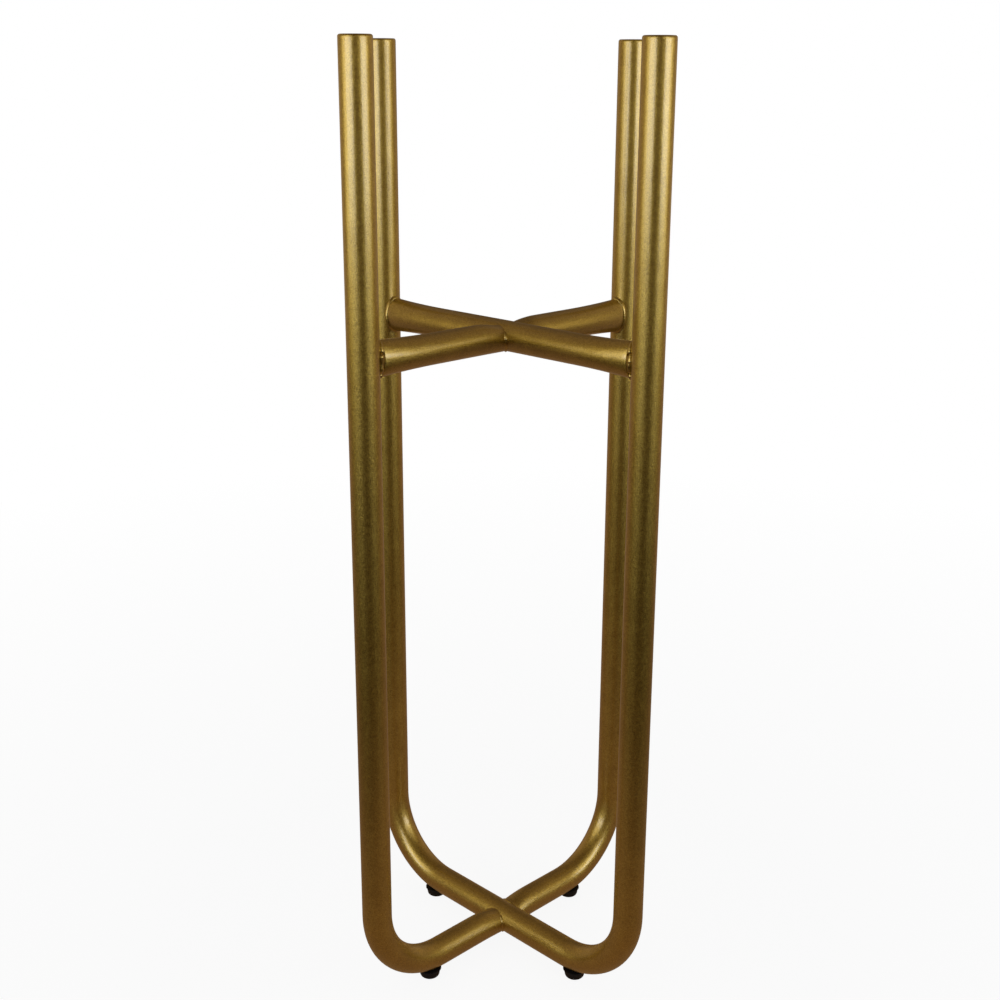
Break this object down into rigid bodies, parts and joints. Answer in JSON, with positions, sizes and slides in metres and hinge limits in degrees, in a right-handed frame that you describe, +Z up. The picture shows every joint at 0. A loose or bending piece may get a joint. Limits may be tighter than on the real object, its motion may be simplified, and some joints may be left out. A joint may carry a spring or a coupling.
{
  "type": "plant stand",
  "caption": "Tall slim plant stand of bent round steel tube in gold paint, with a crossbar seat for a pot between upright legs, on black glides.",
  "frame": {"origin": "on the floor, on the middle axis of the stand", "axes": "+Z up; the front is towards -Y; the legs stand at the corners of a square whose sides lie along X and Y; the one-piece long tube lies on the diagonal from back left (-X, +Y) to front right (+X, -Y)"},
  "size_m": [0.238, 0.238, 0.8],
  "materials": {
    "gold_paint": "satin metallic gold paint with fine orange peel",
    "gold_weld": "satin metallic gold paint over a rippled weld bead",
    "black_plastic": "matt moulded black plastic"
  },
  "bodies": {
    "root": {"base_u_tube": "gold_paint", "leg_tube_front_left": "gold_paint", "leg_tube_back_right": "gold_paint", "crossbar_long": "gold_paint", "crossbar_short_front_left": "gold_paint", "crossbar_short_back_right": "gold_paint", "end_cap_front_left": "gold_paint", "end_cap_front_right": "gold_paint", "end_cap_back_left": "gold_paint", "end_cap_back_right": "gold_paint", "foot_front_left": "black_plastic", "foot_front_right": "black_plastic", "foot_back_left": "black_plastic", "foot_back_right": "black_plastic", "weld_bar_front_left": "gold_weld", "weld_bar_front_right": "gold_weld", "weld_bar_back_left": "gold_weld", "weld_bar_back_right": "gold_weld", "weld_cross_front_left": "gold_weld", "weld_cross_back_right": "gold_weld", "weld_base_front_left": "gold_weld", "weld_base_back_right": "gold_weld"}
  },
  "joints": []
}
